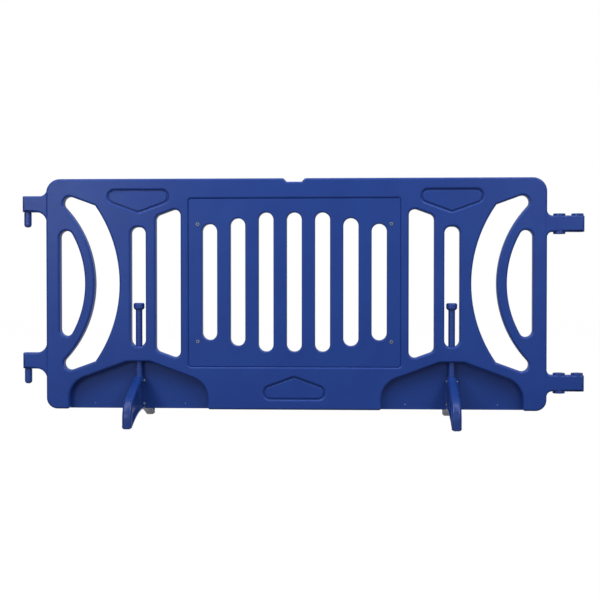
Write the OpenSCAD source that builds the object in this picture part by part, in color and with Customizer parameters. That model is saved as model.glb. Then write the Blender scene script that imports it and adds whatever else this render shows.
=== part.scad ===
// Pedestrian barrier panel: a hollow moulded panel with hook pins at one end, socket eyes
// at the other, and two arched feet that hang on posts in the panel's upright slots.
// Millimetres, +Z up, +X towards the socket end, -Y the front. The ground is z = 0.

/* [Panel] */
// Thickness of the panel from face to face
panel_t = 50; // [44:1:64]
// Wall of the hollow moulding
wall = 4; // [3:0.5:5]
// Gap between the ground and the panel's bottom edge
ground_gap = 51; // [44:1:60]
// Height of the rail below the recessed field
bottom_rail_h = 175; // [160:1:195]
// Height of the rail above the recessed field
top_rail_h = 84; // [78:1:110]
// Radius of the two top corners
top_corner_r = 56; // [40:1:62]
// Radius of the two bottom corners
bottom_corner_r = 44; // [30:1:54]
// Width of the finger notch at the top edge
notch_w = 86; // [70:1:110]
// Width of the finger notch at its floor
notch_floor_w = 60; // [40:1:68]
// Depth of the finger notch
notch_d = 14; // [8:1:20]
// Angle of all the sloped edges above level
rake = 20; // [17:1:22]

/* [Field] */
// Width of the recessed field
field_w = 850; // [760:10:960]
// Height of the recessed field
field_h = 666; // [630:2:710]
// Radius of the field's corners
field_corner_r = 10; // [6:1:16]
// Depth of the field and of the pads below the faces
recess_d = 3; // [2:0.5:5]
// Number of slots in the field
slot_count = 7; // [5:2:7]
// Width of a field slot
slot_w = 60; // [50:1:66]
// Distance from the field's side to the first slot's axis
slot_margin = 86; // [80:1:96]
// Distance from the field's top to the tallest slots
slot_top_gap = 52; // [46:1:64]
// Distance from the field's bottom to the tallest slots
slot_bottom_gap = 56; // [50:1:70]
// Step at each end from one slot to the next shorter one
slot_step = 23; // [15:1:30]
// Diameter of the four sign holes in the front
sign_hole_d = 10; // [8:0.5:12]
// Depth of the sign holes
sign_hole_l = 28; // [24:1:34]
// Distance of the sign holes from the field's sides
sign_inset = 38.5; // [34:0.5:42]
// Distance of the upper sign holes from the field's top
sign_top_gap = 99; // [90:1:115]
// Distance of the lower sign holes from the field's bottom
sign_bottom_gap = 98; // [88:1:115]
// Diameter of the flange of a sign hole's threaded insert
insert_flange_d = 14; // [13:0.5:17]
// Thickness of the flange of a threaded insert
insert_flange_h = 1.2; // [0.8:0.1:1.8]
// Length of a threaded insert in its hole
insert_l = 18; // [14:1:22]
// Bore of a threaded insert
insert_bore_d = 6; // [5:0.5:7]

/* [End windows] */
// Distance of the windows' middle below the field's middle
window_drop = 3; // [0:1:6]
// Rib between the field and the straight window
field_rib = 31; // [28:1:40]
// Width of the straight window
window_w = 100; // [90:1:112]
// Corner radius of the straight window
window_r = 24; // [16:1:28]
// How much lower than half the field the straight window's high end reaches
window_end_gap = 27; // [25:1:40]
// Rib between the straight window and the post slot
window_rib = 41; // [36:1:48]
// Rib between the post slot and the crescent window
post_rib = 46; // [40:1:54]
// Width of the crescent window
crescent_w = 100; // [90:1:108]
// How much lower than half the field the crescent's inner corner reaches
crescent_end_gap = 20; // [18:1:34]
// How far the crescent's inner corners lie out from its middle, per height above the middle
crescent_sag_share = 0.314; // [0.29:0.002:0.34]
// Radius of the crescent's tips
crescent_tip_r = 26; // [20:1:30]
// Rib between the crescent window and the bow window
hoop_rib = 40; // [34:1:46]
// Width of the bow window
hoop_w = 102; // [96:1:112]
// Radius of the bow window's two tips
hoop_tip_r = 27; // [20:1:30]
// Margin from the bow window to the panel's upright edge
edge_margin = 55; // [48:1:62]

/* [Pads] */
// Width of a five-sided pad
pad_w = 246; // [220:1:260]
// Height of a pad's short upright side
pad_side_h = 48; // [44:1:54]
// Corner radius of a pad
pad_r = 24; // [16:1:25]
// Radius at a pad's point
pad_point_r = 6; // [3:1:10]
// Distance from a pad to the panel's edge
pad_gap = 42; // [34:1:50]

/* [Feet] */
// Length of a foot from front to back
foot_l = 540; // [500:5:600]
// Width of a foot
foot_w = 38; // [34:1:44]
// Height of a foot
foot_h = 184; // [176:1:196]
// Length of the level top of a foot
foot_flat_l = 64; // [58:1:80]
// Radius where a foot's top rounds over to its end
foot_end_r = 90; // [70:1:100]
// Height of the arch under a foot
arch_h = 48; // [40:1:56]
// Length of the pad under each end of a foot
foot_pad_l = 20; // [14:1:28]
// Thickness of the rim round a foot's web
foot_rim = 14; // [10:1:16]
// Depth of the web pocket in each side of a foot
web_d = 12; // [8:1:14]
// Length of the solid hub round the post
hub_l = 60; // [50:1:66]

/* [Foot wells] */
// Space between a stowed foot and the roof of its well
well_head_gap = 7; // [4:1:10]
// Space between a stowed foot and each side of its well
well_end_gap = 10; // [8:1:16]
// Length of the level roof of a well
well_flat_l = 92; // [84:1:110]
// Radius of a well's two shoulders
well_r = 90; // [70:1:100]
// Gap beside a foot in the well's back wall
foot_side_gap = 0.75; // [0.5:0.25:1.5]
// Diameter of the two drain holes in a well's back wall
drain_d = 3; // [2:0.5:6]
// Distance of the drain holes from the post
drain_x = 184; // [160:1:200]
// Height of the drain holes above the panel's bottom edge
drain_z = 20; // [14:1:30]

/* [Posts] */
// Diameter of a post
post_d = 27; // [22:0.5:28]
// Radial gap between a post and its guide in the panel
post_gap = 1; // [0.5:0.25:1.5]
// Height of the guide between a well's roof and the post slot
guide_h = 62; // [54:1:70]
// Width of a post slot
post_slot_w = 60; // [56:1:66]
// Corner radius of a post slot
post_slot_r = 26; // [20:1:27]
// Distance from the field's top level to the top of a post slot
post_slot_gap = 110; // [100:1:130]
// Height of a cap above its slot's floor while the barrier stands
cap_lift = 146; // [142:1:152]
// Thickness of the hub's floor below the post
post_floor = 8; // [6:1:12]
// Diameter of a post's cap
cap_d = 44; // [40:1:50]
// Diameter of the cap's underside
cap_neck_d = 32; // [30:1:36]
// Height of a cap
cap_h = 28; // [26:1:36]
// Height of the cone under a cap
cap_cone_h = 7; // [5:1:12]
// Chamfer round the cap's top
cap_chamfer = 4; // [1:0.5:5]
// Depth of the cap's socket for the post
cap_socket_d = 17; // [14:1:20]

/* [Fasteners] */
// Diameter of the hub bolts
bolt_d = 6; // [5:0.5:8]
// Width across the flats of the bolt heads and nuts
hex_af = 10; // [9:0.5:13]
// Height of a bolt head
bolt_head_h = 4; // [3:0.1:5.5]
// Height of a nut
nut_h = 5; // [4:0.1:6.5]
// Length of bolt that shows past its nut
bolt_tail = 1.5; // [1:0.5:4]
// Distance from a foot's top to the upper bolt
bolt_top_gap = 19; // [16:1:24]
// Distance from the arch to the lower bolt
bolt_arch_gap = 24; // [20:1:30]
// Diameter of the cap screw
screw_d = 6; // [4:0.5:8]
// Diameter of the cap screw's head
screw_head_d = 12; // [10:0.5:14]
// Height of the cap screw's head
screw_head_h = 4; // [3:0.5:5]
// Length of the cap screw's shank in the post
screw_l = 24; // [18:1:30]
// Radial clearance round bolts and screws
bolt_gap = 0.2; // [0.15:0.05:0.4]
// Radial clearance of pushed-in pieces
fit_gap = 0.1; // [0.05:0.05:0.2]

/* [Couplings] */
// Reach of a hook arm from the upright edge
hook_reach = 97; // [96:0.5:110]
// Height of a hook arm
hook_h = 65; // [58:1:70]
// Thickness of a hook arm
hook_t = 40; // [36:1:46]
// Fillets at a hook arm's root
hook_fillet_r = 42; // [30:1:46]
// Fillet from the top of the upper hook arm to the panel's corner
hook_top_fillet_r = 30; // [16:1:34]
// Distance from the panel's top to the upper hook arm
hook_top_gap = 68; // [66:1:80]
// Diameter of a hook pin
pin_d = 30; // [26:0.5:30.5]
// Distance of a hook pin's axis from the upright edge
pin_x = 79; // [76:0.5:80]
// Length of a hook pin below its arm
pin_l = 61; // [50:1:70]
// Radius round a hook pin's tip
pin_tip_r = 12; // [8:1:13]
// Diameter of the pin's spigot in the arm
spigot_d = 24; // [20:0.5:25]
// Depth of the pin's spigot in the arm
spigot_l = 45; // [36:1:50]
// Reach of a socket arm from the upright edge
socket_reach = 146; // [145:0.5:156]
// Height of a socket arm
socket_h = 65; // [60:1:72]
// Thickness of a socket arm
socket_t = 48; // [48:0.5:56]
// Fillets at a socket arm's root
socket_fillet_r = 21; // [14:1:26]
// Distance from the panel's bottom to the lower socket arm
socket_bottom_gap = 78; // [72:1:90]
// Distance of the inner eye's axis from the upright edge
inner_eye_x = 50; // [47:0.5:54]
// Distance of the outer eye's axis from the upright edge
outer_eye_x = 121; // [114:0.5:121]
// Bore of a socket bush
bush_bore_d = 32; // [31:0.25:34]
// Diameter of a socket bush in its arm
bush_d = 40; // [37:0.25:42]
// Diameter of a bush's collar
collar_d = 48; // [44:0.25:48]
// Height of a bush's collar
collar_h = 8; // [5:0.5:10]
// Space between a hook arm and the collar below it
couple_gap = 10; // [8:1:16]

/* [Hidden] */
$fn = 64;

// How far every cut runs past the surface it leaves
overrun = 2;
// Angle between the points of small and of large arcs
corner_step = 15;
bow_step = 4;
// Outline points closer than this are one point
merge_d = 0.001;
// The slots that stay at full height on each side of the middle one
full_slots = 1;

panel_blue = [0.16, 0.26, 0.55];
foot_blue = [0.14, 0.23, 0.50];
fitting_blue = [0.12, 0.20, 0.45];
steel = [0.70, 0.71, 0.73];

// Places along the panel, measured from its middle
field_x = field_w / 2;
window_x = field_x + field_rib;
post_x = window_x + window_w + window_rib + post_slot_w / 2;
crescent_x = post_x + post_slot_w / 2 + post_rib;
edge_x = crescent_x + crescent_w + hoop_rib + hoop_w + edge_margin;
bow_side_x = edge_x - edge_margin;
// The three bows of an end have one centre, outside the upright edge
crescent_rise = field_h / 2 - crescent_end_gap;
crescent_sag = crescent_rise * crescent_sag_share;
crescent_out_r = (pow(crescent_rise, 2) + pow(crescent_sag, 2)) / (2 * crescent_sag);
crescent_in_r = crescent_out_r - crescent_w;
hoop_r = crescent_in_r - hoop_rib;
hoop_x = crescent_x + crescent_out_r;
// The origin lies below the middle of the whole length, arms included
panel_x = (hook_reach - socket_reach) / 2;

// Levels above the ground
bottom_z = ground_gap;
field_bottom_z = bottom_z + bottom_rail_h;
mid_z = field_bottom_z + field_h / 2 - window_drop;
field_top_z = field_bottom_z + field_h;
top_z = field_top_z + top_rail_h;
well_top_z = bottom_z + foot_h + well_head_gap;
post_slot_z = well_top_z + guide_h;
cap_z = post_slot_z + cap_lift;
post_top_z = cap_z + cap_socket_d;
upper_hook_z = top_z - hook_top_gap - hook_h;
lower_socket_z = bottom_z + socket_bottom_gap;
socket_to_hook = socket_h + collar_h + couple_gap;
upper_socket_z = upper_hook_z - socket_to_hook;
lower_hook_z = lower_socket_z + socket_to_hook;

half_t = panel_t / 2;
well_half_l = foot_l / 2 + well_end_gap;
guide_r = post_d / 2 + post_gap;
slot_pitch = (field_w - 2 * slot_margin) / (slot_count - 1);
pad_h = pad_side_h + pad_w / 2 * tan(rake);
hub_half_w = foot_w / 2;

// Outline helpers
function unit(v) = v / norm(v);
function neighbour(points, i) = points[(i + len(points)) % len(points)];
function arc(centre, r, from, to, step) =
    let (n = max(1, ceil(abs(to - from) / step)))
    [for (i = [0:n]) let (a = from + (to - from) * i / n) centre + r * [cos(a), sin(a)]];
function merged(points) =
    [for (i = [0:len(points) - 1]) if (norm(points[i] - neighbour(points, i - 1)) > merge_d) points[i]];

// One corner of an outline, rounded to radius r
function round_corner(a, b, c, r) =
    r <= 0 ? [b] :
    let (
        u = unit(a - b),
        v = unit(c - b),
        half = acos(u * v) / 2,
        centre = b + unit(u + v) * r / sin(half),
        start = b + u * r / tan(half) - centre,
        from = atan2(start.y, start.x),
        sweep = (cross(u, v) < 0 ? 1 : -1) * (180 - 2 * half)
    )
    arc(centre, r, from, from + sweep, corner_step);
function rounded(points, r) =
    [for (i = [0:len(points) - 1])
        each round_corner(neighbour(points, i - 1), points[i], neighbour(points, i + 1),
            is_list(r) ? r[i] : r)];

// An outline whose sides all move out by d, for points that run anticlockwise
function grown(points, d) =
    [for (i = [0:len(points) - 1])
        let (
            e = unit(points[i] - neighbour(points, i - 1)),
            f = unit(neighbour(points, i + 1) - points[i]),
            m = [e.y, -e.x],
            n = [f.y, -f.x]
        )
        points[i] + (m + n) * d / (1 + m * n)];
function box_points(x0, z0, x1, z1) = [[x0, z0], [x1, z0], [x1, z1], [x0, z1]];

// A drawing in X and Z, given thickness from y0 to y1
module slab(y0, y1) {
    translate([0, y1, 0]) rotate([90, 0, 0]) linear_extrude(height = y1 - y0) children();
}

// A drawing in Y and Z, given thickness from x0 to x1
module cross_slab(x0, x1) {
    translate([x0, 0, 0]) rotate([90, 0, 90]) linear_extrude(height = x1 - x0) children();
}

module both_ends() {
    children();
    mirror([1, 0]) children();
}

// Panel outlines, each grown by g so that a wall can follow it
module body_outline(g = 0) {
    low_r = bottom_corner_r + g;
    high_r = top_corner_r + g;
    corners = box_points(-edge_x, bottom_z, edge_x, top_z);
    polygon(rounded(grown(corners, g), [low_r, low_r, high_r, high_r]));
}

module field_outline(g = 0) {
    corners = box_points(-field_x, field_bottom_z, field_x, field_top_z);
    polygon(rounded(grown(corners, g), field_corner_r + g));
}

module field_slots(g = 0) {
    middle = (slot_count - 1) / 2;
    tallest = field_h - slot_top_gap - slot_bottom_gap;
    for (i = [-middle:middle]) {
        straight = tallest - slot_w - 2 * slot_step * max(0, abs(i) - full_slots);
        translate([i * slot_pitch, field_bottom_z + slot_bottom_gap + tallest / 2]) {
            square([slot_w + 2 * g, straight], center = true);
            for (end = [-1, 1]) translate([0, end * straight / 2]) circle(r = slot_w / 2 + g);
        }
    }
}

module straight_window(g = 0) {
    high = field_h / 2 - window_end_gap;
    low = high - window_w * tan(rake);
    far_x = window_x + window_w;
    corners = [
        [window_x, mid_z - high], [far_x, mid_z - low], [far_x, mid_z + low], [window_x, mid_z + high]
    ];
    polygon(rounded(grown(corners, g), window_r + g));
}

module post_slot(g = 0) {
    slot_x = post_x - post_slot_w / 2;
    corners = box_points(slot_x, post_slot_z, slot_x + post_slot_w, field_top_z - post_slot_gap);
    polygon(rounded(grown(corners, g), post_slot_r + g));
}

// The crescent lies between two bows with one centre, and ends in sloped edges
module crescent_window(g = 0) {
    bow = [hoop_x, mid_z];
    edge_r = crescent_out_r * sin(asin(crescent_rise / crescent_out_r) + rake);
    corner_a = asin((edge_r + g) / (crescent_out_r + g)) - rake;
    tip_a = asin((edge_r - crescent_tip_r) / (crescent_in_r + crescent_tip_r)) - rake;
    tip = (crescent_in_r + crescent_tip_r) * [-cos(tip_a), sin(tip_a)];
    low_tip = bow + [tip.x, -tip.y];
    tip_r = crescent_tip_r + g;
    polygon(merged(concat(
        arc(bow, crescent_out_r + g, 180 - corner_a, 180 + corner_a, bow_step),
        arc(low_tip, tip_r, -90 - rake, tip_a, corner_step),
        arc(bow, crescent_in_r - g, 180 + tip_a, 180 - tip_a, bow_step),
        arc(bow + tip, tip_r, -tip_a, 90 + rake, corner_step)
    )));
}

// The bow window has a straight side and two round tips
module bow_window(g = 0) {
    bow = [hoop_x, mid_z];
    tip_x = bow_side_x - hoop_tip_r - hoop_x;
    tip_z = sqrt(pow(hoop_r - hoop_tip_r, 2) - pow(tip_x, 2));
    tip_a = atan2(tip_z, -tip_x);
    tip_r = hoop_tip_r + g;
    polygon(merged(concat(
        arc(bow, hoop_r + g, 180 - tip_a, 180 + tip_a, bow_step),
        arc(bow + [tip_x, -tip_z], tip_r, 180 + tip_a, 360, corner_step),
        arc(bow + [tip_x, tip_z], tip_r, 0, 180 - tip_a, corner_step)
    )));
}

module windows(g = 0) {
    field_slots(g);
    both_ends() {
        straight_window(g);
        post_slot(g);
        crescent_window(g);
        bow_window(g);
    }
}

module well_outline(g = 0) {
    shoulder_z = well_top_z - (well_half_l - well_flat_l / 2) * tan(rake);
    corners = [
        [-well_half_l, bottom_z - overrun], [well_half_l, bottom_z - overrun],
        [well_half_l, shoulder_z], [well_flat_l / 2, well_top_z],
        [-well_flat_l / 2, well_top_z], [-well_half_l, shoulder_z]
    ];
    r = well_r + g;
    both_ends() translate([post_x, 0]) polygon(rounded(grown(corners, g), [0, 0, r, 0, 0, r]));
}

module notch_outline(g = 0) {
    floor_x = notch_floor_w / 2;
    rim_x = notch_w / 2;
    corners = [
        [-floor_x, top_z - notch_d], [floor_x, top_z - notch_d], [rim_x, top_z],
        [rim_x, top_z + overrun], [-rim_x, top_z + overrun], [-rim_x, top_z]
    ];
    polygon(grown(corners, g));
}

// A five-sided pad that hangs from its level edge and points down
module pad_outline(g = 0) {
    corners = [
        [-pad_w / 2, -pad_side_h], [0, -pad_h], [pad_w / 2, -pad_side_h], [pad_w / 2, 0], [-pad_w / 2, 0]
    ];
    r = pad_r + g;
    polygon(rounded(grown(corners, g), [r, pad_point_r + g, r, r, r]));
}

module pads(g = 0) {
    both_ends() translate([post_x, top_z - pad_gap]) pad_outline(g);
    translate([0, bottom_z + pad_gap]) mirror([0, 1]) pad_outline(g);
}

module at_sign_holes() {
    for (side = [-1, 1], z = [field_bottom_z + sign_bottom_gap, field_top_z - sign_top_gap])
        translate([side * (field_x - sign_inset), z]) children();
}

// An arm on the right-hand edge, with fillets where it leaves the edge. A fillet that reaches up
// past the start of the panel's corner touches the corner's arc instead of the edge.
module arm_outline(reach, low_z, high_z, low_r, high_r) {
    root_x = edge_x - wall;
    corner = [edge_x, top_z] - top_corner_r * [1, 1];
    rise = max(0, high_z + high_r - corner.y);
    run = sqrt(pow(top_corner_r + high_r, 2) - pow(rise, 2));
    fillet = arc([corner.x + run, high_z + high_r], high_r, 270, 180 + atan2(rise, run), corner_step);
    polygon(concat(
        [[root_x, low_z - low_r]],
        arc([edge_x + low_r, low_z - low_r], low_r, 180, 90, corner_step),
        [[edge_x + reach, low_z], [edge_x + reach, high_z]],
        fillet,
        [[root_x, fillet[len(fillet) - 1].y]]
    ));
}

module hook_arm(z, top_fillet_r) {
    mirror([1, 0, 0])
        slab(-hook_t / 2, hook_t / 2)
            arm_outline(hook_reach, z, z + hook_h, hook_fillet_r, top_fillet_r);
}

module socket_arm(z) {
    slab(-socket_t / 2, socket_t / 2)
        arm_outline(socket_reach, z, z + socket_h, socket_fillet_r, socket_fillet_r);
}

// The air inside the moulding, one wall away from every outer surface
module panel_cavity() {
    difference() {
        slab(wall - half_t, half_t - wall) difference() {
            body_outline(-wall);
            windows(wall);
            well_outline(wall);
            notch_outline(wall);
            at_sign_holes() circle(r = sign_hole_d / 2 + wall);
            both_ends()
                translate([post_x - guide_r - wall, well_top_z]) square([2 * (guide_r + wall), guide_h]);
        }
        for (face = [0, 1]) mirror([0, face, 0]) slab(-half_t, wall + recess_d - half_t) {
            field_outline(wall);
            pads(wall);
        }
    }
}

// The recesses, wells and holes that are cut from the solid outline
module panel_cuts() {
    slab(-half_t - overrun, half_t + overrun) {
        windows();
        notch_outline();
    }
    for (face = [0, 1]) mirror([0, face, 0]) slab(-half_t - overrun, recess_d - half_t) {
        field_outline();
        pads();
    }
    slab(-half_t - overrun, half_t - wall) well_outline();
    slab(-half_t - overrun, recess_d + sign_hole_l - half_t) at_sign_holes() circle(d = sign_hole_d);
    for (side = [-1, 1]) translate([side * post_x, 0, 0]) {
        foot_room = hub_half_w + foot_side_gap;
        translate([-foot_room, half_t - wall - overrun, bottom_z - overrun])
            cube([2 * foot_room, wall + 2 * overrun, foot_h - bottom_z + overrun]);
        translate([0, 0, well_top_z - overrun]) cylinder(r = guide_r, h = guide_h + 2 * overrun);
        for (end = [-1, 1])
            translate([end * drain_x, half_t + overrun, bottom_z + drain_z])
                rotate([90, 0, 0]) cylinder(d = drain_d, h = wall + 2 * overrun);
    }
    for (z = [lower_hook_z, upper_hook_z])
        translate([-edge_x - pin_x, 0, z - overrun]) cylinder(d = spigot_d, h = spigot_l + overrun);
    for (z = [lower_socket_z, upper_socket_z], x = [inner_eye_x, outer_eye_x])
        translate([edge_x + x, 0, z - overrun]) cylinder(d = bush_d, h = socket_h + 2 * overrun);
}

module panel() {
    color(panel_blue) translate([panel_x, 0, 0]) difference() {
        union() {
            slab(-half_t, half_t) body_outline();
            hook_arm(lower_hook_z, hook_fillet_r);
            hook_arm(upper_hook_z, hook_top_fillet_r);
            for (z = [lower_socket_z, upper_socket_z]) socket_arm(z);
        }
        panel_cuts();
        panel_cavity();
    }
}

// Threaded inserts for a sign, each with its flange on the recessed field
module sign_inserts() {
    face_y = recess_d - half_t;
    color(steel) translate([panel_x, 0, 0]) {
        slab(face_y - insert_flange_h, face_y) at_sign_holes() difference() {
            circle(d = insert_flange_d);
            circle(d = insert_bore_d);
        }
        slab(face_y - insert_flange_h, face_y + insert_l) at_sign_holes() difference() {
            circle(r = sign_hole_d / 2 - fit_gap);
            circle(d = insert_bore_d);
        }
    }
}

// A round pin below a hook arm, with a spigot pushed up into the arm
module hook_pin(arm_z) {
    r = pin_d / 2;
    inner_r = spigot_d / 2 - fit_gap;
    tip = arc([r - pin_tip_r, pin_tip_r - pin_l], pin_tip_r, 270, 360, corner_step);
    color(fitting_blue) translate([panel_x - edge_x - pin_x, 0, arm_z]) rotate_extrude()
        polygon(concat([[0, -pin_l]], tip, [[r, 0], [inner_r, 0], [inner_r, spigot_l], [0, spigot_l]]));
}

// A flanged bush that hangs body down from its collar
module bush(body_l) {
    body_r = bush_d / 2 - fit_gap;
    color(fitting_blue) difference() {
        union() {
            cylinder(d = collar_d, h = collar_h);
            translate([0, 0, -body_l]) cylinder(r = body_r, h = body_l + collar_h);
        }
        translate([0, 0, -body_l - overrun])
            cylinder(d = bush_bore_d, h = body_l + collar_h + 2 * overrun);
    }
}

module inner_top_bush(arm_z) {
    translate([panel_x + edge_x + inner_eye_x, 0, arm_z + socket_h]) bush(socket_h / 2);
}

module inner_bottom_bush(arm_z) {
    translate([panel_x + edge_x + inner_eye_x, 0, arm_z]) rotate([180, 0, 0]) bush(socket_h / 2);
}

module outer_bush(arm_z) {
    translate([panel_x + edge_x + outer_eye_x, 0, arm_z + socket_h]) bush(socket_h);
}

// Side view of a foot, grown by g
module foot_outline(g = 0) {
    half_l = foot_l / 2;
    shoulder_z = foot_h - (half_l - foot_flat_l / 2) * tan(rake);
    arch_half_l = half_l - foot_pad_l;
    arch_r = (pow(arch_half_l, 2) + pow(arch_h, 2)) / (2 * arch_h);
    corners = [
        [-half_l, 0], [half_l, 0], [half_l, shoulder_z],
        [foot_flat_l / 2, foot_h], [-foot_flat_l / 2, foot_h], [-half_l, shoulder_z]
    ];
    end_r = foot_end_r + g;
    difference() {
        polygon(rounded(grown(corners, g), [0, 0, end_r, 0, 0, end_r]));
        translate([0, arch_h - arch_r]) circle(r = arch_r - g);
    }
}

// The two levels at which bolts cross the hub
function bolt_levels() = [foot_h - bolt_top_gap, arch_h + bolt_arch_gap];

module bolt_holes() {
    for (z = bolt_levels())
        translate([-foot_w, 0, z]) rotate([0, 90, 0]) cylinder(r = bolt_d / 2 + bolt_gap, h = 2 * foot_w);
}

module at_post(side) {
    translate([panel_x + side * post_x, 0, 0]) children();
}

module foot(side) {
    color(foot_blue) at_post(side) difference() {
        cross_slab(-hub_half_w, hub_half_w) foot_outline();
        for (face = [0, 1]) mirror([face, 0, 0])
            cross_slab(hub_half_w - web_d, hub_half_w + overrun) difference() {
                foot_outline(-foot_rim);
                translate([-hub_l / 2, 0]) square([hub_l, foot_h]);
            }
        translate([0, 0, arch_h + post_floor]) cylinder(r = post_d / 2 + fit_gap, h = foot_h);
        bolt_holes();
    }
}

module post(side) {
    base_z = arch_h + post_floor;
    color(fitting_blue) at_post(side) difference() {
        translate([0, 0, base_z]) cylinder(d = post_d, h = post_top_z - base_z);
        bolt_holes();
        translate([0, 0, post_top_z - screw_l - bolt_gap])
            cylinder(r = screw_d / 2 + bolt_gap, h = screw_l + overrun);
    }
}

module post_cap(side) {
    r = cap_d / 2;
    head_r = screw_head_d / 2 + bolt_gap;
    hole_r = screw_d / 2 + bolt_gap;
    socket_r = post_d / 2 + fit_gap;
    seat_z = cap_h - screw_head_h;
    color(fitting_blue) at_post(side) translate([0, 0, cap_z]) rotate_extrude() polygon([
        [socket_r, 0], [cap_neck_d / 2, 0], [r, cap_cone_h], [r, cap_h - cap_chamfer],
        [r - cap_chamfer, cap_h], [head_r, cap_h], [head_r, seat_z], [hole_r, seat_z],
        [hole_r, cap_socket_d], [socket_r, cap_socket_d]
    ]);
}

module cap_screw(side) {
    head_z = cap_z + cap_h - screw_head_h;
    color(steel) at_post(side) {
        translate([0, 0, head_z]) cylinder(d = screw_head_d, h = screw_head_h);
        translate([0, 0, post_top_z - screw_l]) cylinder(d = screw_d, h = head_z - post_top_z + screw_l);
    }
}

// A six-sided prism that lies along X
module hex_prism(h) {
    rotate([0, 90, 0]) cylinder(r = hex_af / 2 / cos(30), h = h, $fn = 6);
}

module hub_bolts(side) {
    color(steel) at_post(side) for (z = bolt_levels()) translate([-hub_half_w, 0, z]) {
        translate([-bolt_head_h, 0, 0]) hex_prism(bolt_head_h);
        rotate([0, 90, 0]) cylinder(d = bolt_d, h = foot_w + nut_h + bolt_tail);
    }
}

module hub_nuts(side) {
    color(steel) at_post(side) for (z = bolt_levels()) translate([hub_half_w, 0, z]) difference() {
        hex_prism(nut_h);
        translate([-overrun, 0, 0]) rotate([0, 90, 0])
            cylinder(r = bolt_d / 2 + bolt_gap, h = nut_h + 2 * overrun);
    }
}

panel();
sign_inserts();
hook_pin(upper_hook_z);  // upper_hook_pin
hook_pin(lower_hook_z);  // lower_hook_pin
inner_top_bush(upper_socket_z);  // upper_inner_top_bush
inner_bottom_bush(upper_socket_z);  // upper_inner_bottom_bush
outer_bush(upper_socket_z);  // upper_outer_bush
inner_top_bush(lower_socket_z);  // lower_inner_top_bush
inner_bottom_bush(lower_socket_z);  // lower_inner_bottom_bush
outer_bush(lower_socket_z);  // lower_outer_bush
foot(-1);  // left_foot
foot(1);  // right_foot
post(-1);  // left_post
post(1);  // right_post
post_cap(-1);  // left_post_cap
post_cap(1);  // right_post_cap
cap_screw(-1);  // left_cap_screw
cap_screw(1);  // right_cap_screw
hub_bolts(-1);  // left_hub_bolts
hub_bolts(1);  // right_hub_bolts
hub_nuts(-1);  // left_hub_nuts
hub_nuts(1);  // right_hub_nuts
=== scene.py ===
import math

import bpy
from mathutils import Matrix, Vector


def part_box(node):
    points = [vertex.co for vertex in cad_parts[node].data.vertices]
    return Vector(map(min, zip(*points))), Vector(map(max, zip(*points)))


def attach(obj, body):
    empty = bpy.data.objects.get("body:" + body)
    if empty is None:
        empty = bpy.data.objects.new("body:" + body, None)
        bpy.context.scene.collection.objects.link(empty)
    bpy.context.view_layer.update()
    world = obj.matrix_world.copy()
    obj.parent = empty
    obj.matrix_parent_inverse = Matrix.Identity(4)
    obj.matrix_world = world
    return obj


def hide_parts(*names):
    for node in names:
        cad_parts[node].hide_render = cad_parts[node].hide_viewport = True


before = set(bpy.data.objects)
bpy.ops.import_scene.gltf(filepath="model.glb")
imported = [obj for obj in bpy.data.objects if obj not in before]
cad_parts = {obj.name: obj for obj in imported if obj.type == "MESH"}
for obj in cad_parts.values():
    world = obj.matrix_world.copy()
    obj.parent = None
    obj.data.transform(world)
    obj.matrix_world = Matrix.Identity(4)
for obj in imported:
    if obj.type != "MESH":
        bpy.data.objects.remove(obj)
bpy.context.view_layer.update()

# Viewpoint
# A long lens stands nearly 5 m in front of the barrier, a little right of its middle and just above
# half its height, and looks slightly left and down.
eye = Vector((0.233, -4.799, 0.576))
aim = Vector((-0.002, 0.0, 0.490))
bpy.ops.object.camera_add(location=eye, rotation=(aim - eye).to_track_quat('-Z', 'Y').to_euler())
camera = bpy.context.object
camera.data.sensor_width = 36.0
camera.data.lens = 72.0
bpy.context.scene.camera = camera

# Panel frame
# The body of the barrier is one hollow blow-moulded polyethylene shell. Every edge leaves the mould
# with a round of 9 mm, and the wells for the feet are open to the front and below.
panel_low, panel_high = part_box("panel")
left_post_low, left_post_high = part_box("left_post")
right_post_low, right_post_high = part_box("right_post")
middle_x = (left_post_low.x + right_post_high.x) / 2
post_x = (right_post_high.x + right_post_low.x) / 2 - middle_x
bottom_z = panel_low.z
top_z = panel_high.z
half_t = panel_high.y
edge_x = 1.000
edge_round = 0.009
top_corner_r = 0.056
bottom_corner_r = 0.044
grip_w = 0.086
grip_floor_w = 0.060
grip_d = 0.014
grip_r = 0.0095
grip_floor_r = 0.004
rake = 20
slope = math.tan(math.radians(rake))

bottom_rail_h = 0.175
top_rail_h = 0.084
field_w = 0.850
field_low_z = bottom_z + bottom_rail_h
field_high_z = top_z - top_rail_h
field_corner_r = 0.010
rim_side = 0.002
rim_low = 0.003
rim_high = 0.0025
windows_drop = 0.003
mid_z = (field_low_z + field_high_z) / 2 - windows_drop
pad_w = 0.242
pad_side_h = 0.046
pad_corner_r = 0.026
pad_point_r = 0.014
high_pad_margin = 0.046
low_pad_margin = 0.042

field_rib = 0.031
window_x = field_w / 2 + field_rib
window_w = 0.100
window_rise = 0.306
window_corner_r = 0.024
post_slot_w = 0.060
post_slot_rise = 0.253
post_slot_low_z = bottom_z + post_slot_rise
post_slot_drop = 0.110
post_slot_high_z = field_high_z - post_slot_drop
post_slot_corner_r = 0.026
post_rib = 0.046
crescent_x = post_x + post_slot_w / 2 + post_rib
crescent_w = 0.100
crescent_rise = 0.313
crescent_sag_share = 0.314
crescent_tip_r = 0.026
bow_w = 0.102
bow_tip_r = 0.027
edge_margin = 0.055
bow_side_x = edge_x - edge_margin
bow_rib = bow_side_x - bow_w - crescent_x - crescent_w

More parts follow.
